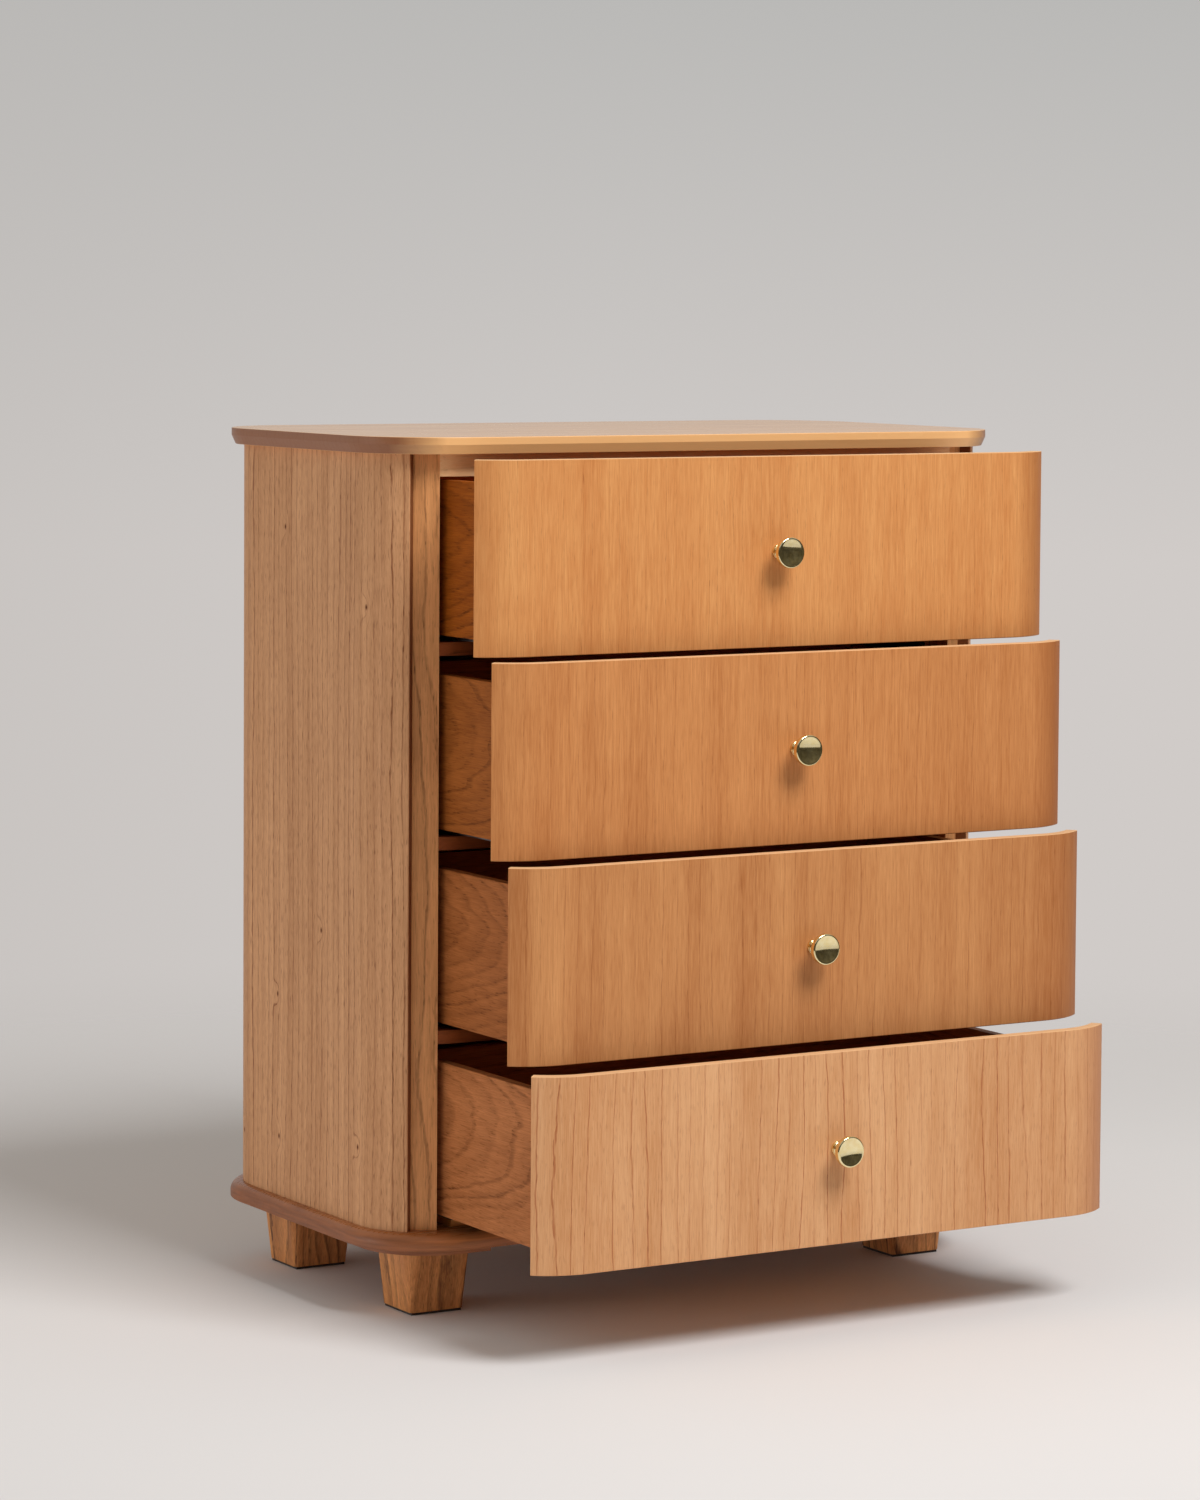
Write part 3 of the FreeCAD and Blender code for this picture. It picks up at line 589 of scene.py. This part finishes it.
# Screws of the back panel, in metres
BACK_SCREW_HEAD = 0.0035
BACK_SCREW_HEIGHT = 0.0018
BACK_SCREW_SHANK = 0.0016
BACK_SCREW_REACH = 0.016
BACK_SCREW_SIDE_INSET = 0.006
BACK_SCREW_END_INSET = 0.024
BACK_SCREW_COLUMNS = 4


def make_back_screws(steel):
    """The screws that hold the back panel to the side panels and to the dividers' back edges."""
    low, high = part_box("back_panel")
    inset = Vector((BACK_SCREW_SIDE_INSET, 0, BACK_SCREW_END_INSET))
    low, high = low + inset, high - inset
    dividers = [sum(corner.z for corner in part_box(f"divider_{n}")) / 2 for n in (1, 2, 3)]
    last = BACK_SCREW_COLUMNS - 1
    shape = bmesh.new()
    for i in range(BACK_SCREW_COLUMNS):
        x = low.x + (high.x - low.x) * i / last
        for z in dividers + ([low.z, high.z] if i in (0, last) else []):
            make_screw(
                shape, (x, high.y, z), BACK_SCREW_HEAD, BACK_SCREW_HEIGHT, BACK_SCREW_SHANK, BACK_SCREW_REACH,
            )
    bmesh.ops.recalc_face_normals(shape, faces=shape.faces)
    screws = finished_object("back_panel_screws", shape)
    screws.data.materials.append(steel)
    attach(screws, "case")


# Screws of the knobs, in metres
KNOB_SCREW_HEIGHT = 0.0028
KNOB_SCREW_SHANK = 0.002


def make_knob_screw(n, steel):
    """The screw that holds a knob from inside the drawer."""
    low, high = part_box(f"drawer_{n}_knob_screw")
    middle = (low + high) / 2
    head = (high.x - low.x) / 2
    seat = high.y - KNOB_SCREW_HEIGHT
    place = (middle.x, seat, middle.z)
    shape = bmesh.new()
    make_screw(shape, place, head, KNOB_SCREW_HEIGHT, KNOB_SCREW_SHANK, seat - low.y)
    bmesh.ops.recalc_face_normals(shape, faces=shape.faces)
    screw = finished_object(f"drawer_{n}_cross_head_screw", shape)
    screw.data.materials.append(steel)
    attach(screw, f"drawer_{n}")
    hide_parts(f"drawer_{n}_knob_screw")


def dress(node, material):
    """Give a piece of the frame its finish."""
    nodes[node].material_slots[0].material = material


# How far a timber's pith leans, and where it lies. In the base, rails and cross boards that is a place in
# millimetres, in the feet shares of a foot's own place, and in posts and drawer sides one of each.
BASE_PITH = (-150, 60)
BASE_LEAN = 0.02
RAIL_PITH = (-260, 700)
RAIL_LEAN = 0.015
CROSS_BOARD_PITH = (-300, 500)
CROSS_BOARD_LEAN = 0.03
FOOT_PITH = (0.86, 0.72)
FOOT_LEAN = 0.08
POST_PITH = (1.06, 60)
POST_LEAN = 0.03
SIDE_BOARD_PITH = (0.9, 25)
SIDE_BOARD_LEAN = 0.2


def foot_pith(corner):
    """The pith of a foot's timber, in millimetres, outside the foot on its inner side."""
    low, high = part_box(f"foot_{corner}")
    middle = (low + high) / 2 * MM_PER_METRE
    return middle.x * FOOT_PITH[0], middle.y * FOOT_PITH[1]


def dress_case():
    """Finish the pieces of the case. Returns the steel of the runners."""
    dress("top_panel", wood("oiled_top_veneer", level_grain, TOP, 1))
    dress("base_panel", wood("oiled_base_timber", log_grain(0, BASE_PITH, BASE_LEAN), BASE, 2))
    dress("foot_plates", nodes["base_panel"].material_slots[0].material)
    for seed, side in enumerate(("left", "right"), 3):
        dress(f"side_panel_{side}", wood(f"bent_side_veneer_{side}", bent_side_grain, SIDE, seed))
        low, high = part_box(f"front_stile_{side}")
        middle = (low + high) / 2 * MM_PER_METRE
        grain = log_grain(2, (middle.x * POST_PITH[0], middle.y + POST_PITH[1]), POST_LEAN)
        dress(f"front_stile_{side}", wood(f"post_timber_{side}", grain, POST, seed + 2))
    dress("back_panel", wood("back_board", upright_grain, BACK, 7))
    grain = log_grain(0, RAIL_PITH, RAIL_LEAN)
    dress("top_front_rail", wood("rail_timber", grain, PAINTED_LIGHT_RAIL, 8))
    divider = wood("divider_timber", grain, DIVIDER, 14)
    for node in ("divider_rail_1", "divider_rail_2", "divider_rail_3"):
        dress(node, divider)
    board = wood("divider_board", level_grain, BOARD, 9)
    for node in ("divider_1", "divider_2", "divider_3", "runner_packers"):
        dress(node, board)
    for seed, corner in enumerate(("front_left", "front_right", "back_left", "back_right"), 10):
        grain = log_grain(2, foot_pith(corner), FOOT_LEAN)
        dress(f"foot_{corner}", wood(f"foot_timber_{corner}", grain, FOOT, seed))
    dress("foot_pads", dark_felt())
    # Dark zinc for the runners and foot bolts: painted shade, which also dims their reflection
    steel = zinc_steel("zinc_runner_steel", "#85878a")
    dress("case_runners", steel)
    dress("foot_bolts", steel)
    make_back_screws(steel)
    return steel


def dress_drawers(steel):
    """Finish the four drawers."""
    brass = polished_brass()
    screw = zinc_steel("zinc_screw_steel", "#d3cfc4")
    bottom = wood("drawer_bottom_board", level_grain, BOARD, 20)
    grain = log_grain(0, CROSS_BOARD_PITH, CROSS_BOARD_LEAN)
    cross = wood("drawer_cross_board", grain, BOX | BOX_LEAVES_PAINTED_SHADE[3], 21)
    for n in DRAWERS:
        leaf = FRONT | FRONT_LEAVES[n]
        dress(f"drawer_{n}_front", wood(f"front_veneer_{n}", bent_front_grain(n), leaf, 30 + n))
        dress(f"drawer_{n}_box_front", cross)
        dress(f"drawer_{n}_back", cross)
        dress(f"drawer_{n}_bottom", bottom)
        for side in ("left", "right"):
            low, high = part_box(f"drawer_{n}_side_{side}")
            middle = (low + high) / 2 * MM_PER_METRE
            pith = (middle.x * SIDE_BOARD_PITH[0], middle.z + SIDE_BOARD_PITH[1])
            grain = log_grain(1, pith, SIDE_BOARD_LEAN)
            board = wood(f"drawer_side_board_{n}_{side}", grain, BOX | BOX_LEAVES_PAINTED_SHADE[n], 40 + n)
            dress(f"drawer_{n}_side_{side}", board)
        make_knob(n, brass)
        make_knob_screw(n, screw)
        dress(f"drawer_{n}_runners", steel)


# Studio, in metres

CAMERA_PLACE = (-2.686, -4.473, 1.094)
CAMERA_TURN = math.radians(30.85)
CAMERA_TILT = math.radians(3.47)
CAMERA_ROLL = math.radians(0.362)
CAMERA_SENSOR_MM = 36
CAMERA_LENS_MM = 111.8
CAMERA_SHIFT = -0.12
OBJECT_MIDDLE = Vector((0, -0.1, 0.47))
BACKDROP = "#d0cbc8"
# Painted shade of the backdrop, high up and to the left
BACKDROP_HIGH_SHADE = "#bab9b7"
BACKDROP_LEFT_SHADE = "#bbb7b4"
BACKDROP_RISE = (-0.057, 0.062)
BACKDROP_RIGHT = (0.86, -0.51, 0)
WORLD_BRIGHT_SIDE = (-0.8, 0.6, 0)
WORLD_STRENGTH = (0.18, 0.6)
FLOOR_RADIUS = 14.0
FLOOR_FADE_FROM = 0.8
FLOOR_FADE_TO = 2.4
PAPER_RADIUS = 3.0
CURTAIN_RADIUS = 4.5
CURTAIN_HEIGHT = 3.0
CURTAIN_LIFT = 0.01
CURTAIN_BACK = 0.9
CURTAIN_PALE_FROM = 1.2


def make_camera():
    """A long lens at the photograph's viewing angle."""
    data = bpy.data.cameras.new("photo_view")
    data.sensor_width = CAMERA_SENSOR_MM
    data.lens = CAMERA_LENS_MM
    data.shift_y = CAMERA_SHIFT
    camera = bpy.data.objects.new("photo_view", data)
    turn = Matrix.Rotation(-CAMERA_TURN, 4, "Z") @ Matrix.Rotation(math.pi / 2 - CAMERA_TILT, 4, "X")
    camera.matrix_world = Matrix.Translation(CAMERA_PLACE) @ turn @ Matrix.Rotation(CAMERA_ROLL, 4, "Z")
    bpy.context.scene.collection.objects.link(camera)
    bpy.context.scene.camera = camera


def softbox(name, direction, distance, size, power, tone):
    """A square light that faces the middle of the chest."""
    data = bpy.data.lights.new(name, "AREA")
    data.size = size
    data.energy = power
    data.color = linear(tone)[:3]
    light = bpy.data.objects.new(name, data)
    towards = Vector(direction).normalized()
    light.location = OBJECT_MIDDLE + towards * distance
    light.rotation_euler = towards.to_track_quat("Z", "Y").to_euler()
    light.visible_camera = False
    bpy.context.scene.collection.objects.link(light)


def seen_rays(tree):
    """1 for what the eye sees straight, in a mirror or through glass, and 0 for light on surfaces."""
    rays = add(tree, "LightPath").node.outputs
    seen = add(tree, "Math", rays["Is Camera Ray"], rays["Is Glossy Ray"], operation="MAXIMUM")
    return add(tree, "Math", seen, rays["Is Transmission Ray"], operation="MAXIMUM")


def make_floor():
    """A pale floor that fades into the backdrop far away and is clear from below."""
    shape = bmesh.new()
    bmesh.ops.create_circle(shape, cap_ends=True, segments=96, radius=FLOOR_RADIUS)
    floor = finished_object("studio_floor", shape)
    material, tree = new_material("pale_floor_paper")
    place = add(tree, "TexCoord", output=3)
    away = add(tree, "VectorMath", place, operation="LENGTH", output=0)
    fade = (FLOOR_FADE_FROM, FLOOR_FADE_TO)
    far = add(tree, "MapRange", away, *fade, 0.0, 1.0, interpolation_type="SMOOTHSTEP")
    below = add(tree, "NewGeometry").node.outputs["Backfacing"]
    far = add(tree, "Math", far, below, operation="MAXIMUM")
    far = add(tree, "Math", far, seen_rays(tree), operation="MULTIPLY")
    near = add(tree, "BsdfDiffuse", linear("#e9eaec"))
    add_output(tree, add(tree, "MixShader", far, near, add(tree, "BsdfTransparent")))
    floor.data.materials.append(material)


def make_curtain():
    """The dark studio in front of the paper floor, which shows only as a reflection in the brass."""
    shape = bmesh.new()
    bmesh.ops.create_circle(shape, segments=64, radius=PAPER_RADIUS)
    ring = shape.edges[:]
    for step in (Matrix.Scale(CURTAIN_RADIUS / PAPER_RADIUS, 4), Matrix.Translation((0, 0, CURTAIN_HEIGHT))):
        made = bmesh.ops.extrude_edge_only(shape, edges=ring)["geom"]
        moved = {v for v in made if isinstance(v, bmesh.types.BMVert)}
        bmesh.ops.transform(shape, verts=list(moved), matrix=step)
        ring = [e for e in made if isinstance(e, bmesh.types.BMEdge) and moved.issuperset(e.verts)]
    behind = [v for v in shape.verts if v.co.y > CURTAIN_BACK]
    bmesh.ops.delete(shape, geom=behind, context="VERTS")
    bmesh.ops.translate(shape, verts=shape.verts, vec=(0, 0, CURTAIN_LIFT))
    curtain = finished_object("studio_curtain", shape)
    curtain.visible_camera = False
    curtain.visible_diffuse = False
    curtain.visible_shadow = False
    material, tree = new_material("dark_curtain")
    place = add(tree, "TexCoord", output=3)
    folds = add(tree, "TexNoise", place, Scale=1.3, Detail=2.0)
    height = add(tree, "SeparateXYZ", place).node.outputs["Z"]
    paler = add(tree, "MapRange", height, CURTAIN_PALE_FROM, CURTAIN_HEIGHT, 0.0, 0.7)
    folds = add(tree, "Math", folds, paler, operation="ADD")
    tone = add(tree, "Mix", folds, linear("#1a1712"), linear("#6d6a5e"), data_type="RGBA")
    add_output(tree, add(tree, "BsdfDiffuse", tone))
    curtain.data.materials.append(material)


def make_world():
    """Soft warm light, most of it from behind, and a pale backdrop with painted shade, darker upwards and to
    the left.
    """
    world = bpy.data.worlds.new("studio")
    bpy.context.scene.world = world
    world.use_nodes = True
    tree = world.node_tree
    tree.nodes.clear()
    direction = add(tree, "TexCoord", output=0)
    axes = add(tree, "SeparateXYZ", direction).node.outputs
    # Painted shade on the backdrop, darker upwards and to the left
    up = add(tree, "MapRange", axes["Z"], *BACKDROP_RISE, 0.0, 1.0)
    tone = add(tree, "Mix", up, linear(BACKDROP), linear(BACKDROP_HIGH_SHADE), data_type="RGBA")
    sideways = add(tree, "VectorMath", direction, BACKDROP_RIGHT, operation="DOT_PRODUCT")
    left = add(tree, "MapRange", sideways, 0.0, -0.13, 0.0, 0.35)
    tone = add(tree, "Mix", left, tone, linear(BACKDROP_LEFT_SHADE), data_type="RGBA")
    backdrop = add(tree, "Background", tone, 1.0)
    behind = add(tree, "VectorMath", direction, WORLD_BRIGHT_SIDE, operation="DOT_PRODUCT")
    strength = add(tree, "MapRange", behind, -1.0, 1.0, *WORLD_STRENGTH)
    light = add(tree, "Background", linear("#fff5ea"), strength)
    shader = add(tree, "MixShader", seen_rays(tree), light, backdrop)
    output = tree.nodes.new("ShaderNodeOutputWorld")
    tree.links.new(shader, output.inputs["Surface"])


def make_studio():
    """The camera, the floor and backdrop, a key light from the front and a weak one from the left."""
    make_camera()
    make_floor()
    make_world()
    make_curtain()
    softbox("key", (0.12, -0.64, 0.76), distance=4.4, size=1.8, power=147, tone="#fffdfb")
    softbox("left_fill", (-0.97, 0.2, -0.14), distance=2.6, size=1.2, power=13, tone="#ffffff")
    bpy.context.scene.view_settings.view_transform = "Standard"


steel = dress_case()
dress_drawers(steel)
make_studio()
